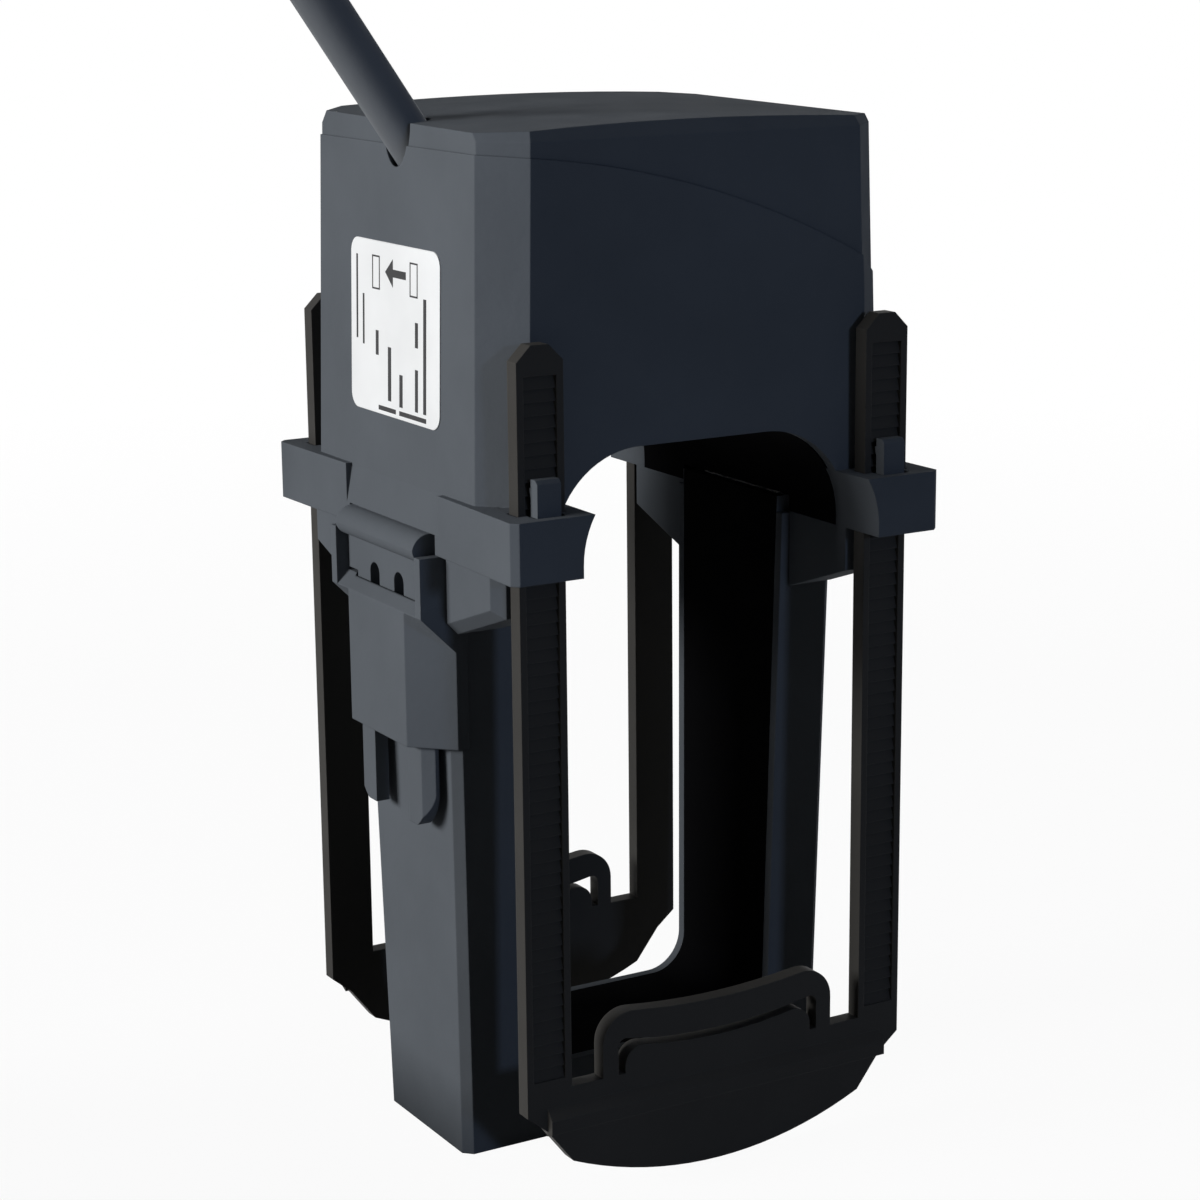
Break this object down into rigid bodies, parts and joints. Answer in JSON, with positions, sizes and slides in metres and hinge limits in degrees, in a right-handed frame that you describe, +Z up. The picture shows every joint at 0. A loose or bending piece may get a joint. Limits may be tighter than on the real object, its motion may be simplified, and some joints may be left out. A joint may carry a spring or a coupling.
{
  "type": "split-core current transformer",
  "caption": "Split-core current transformer with pull-off U-shaped lower half, toothed clamping frames on both faces and a fixed output cable.",
  "frame": {"origin": "centre of the conductor window, midway between its two faces", "axes": "+Z up towards the cable end, +Y along the conductor from front to back, +X to the right seen from the front"},
  "size_m": [0.2096, 0.0935, 0.1769],
  "materials": {
    "housing": "fine satin moulding",
    "liner": "matt black",
    "frame": "satin black",
    "label": "smooth film",
    "core": "wound strip",
    "bobbin": "natural",
    "copper": "enamelled wire",
    "tape": "film tape",
    "spring_steel": "blank",
    "cable": "smooth sheath",
    "core_brown": "smooth",
    "core_blue": "smooth",
    "ferrule": "tinned"
  },
  "bodies": {
    "upper_half": {"upper_housing": "housing", "top_cover": "housing", "rating_label": "label", "arch_liner": "liner", "upper_core": "core", "winding_bobbin": "bobbin", "secondary_winding": "copper", "winding_tape": "tape", "cable_tie": "bobbin", "lead_brown": "core_brown", "lead_blue": "core_blue", "output_cable": "cable", "cable_coil": "cable", "cable_tail": "cable", "core_brown": "core_brown", "core_blue": "core_blue", "core_ferrules": "ferrule"},
    "lower_half": {"lower_casing": "housing", "lower_liner": "liner", "lower_core": "core", "core_spring_left": "spring_steel", "core_spring_right": "spring_steel"},
    "front_frame": {"front_ratchet_frame": "frame"},
    "back_frame": {"back_ratchet_frame": "frame"}
  },
  "joints": [
    {"name": "lower_half_pull_off", "type": "slide", "parent": "upper_half", "child": "lower_half", "axis": [0, 0, -1], "range_m": [0, 0.03]},
    {"name": "front_frame_slide", "type": "slide", "parent": "upper_half", "child": "front_frame", "axis": [0, 0, 1], "range_m": [-0.012, 0.066]},
    {"name": "back_frame_slide", "type": "slide", "parent": "upper_half", "child": "back_frame", "axis": [0, 0, 1], "range_m": [-0.012, 0.066]}
  ]
}
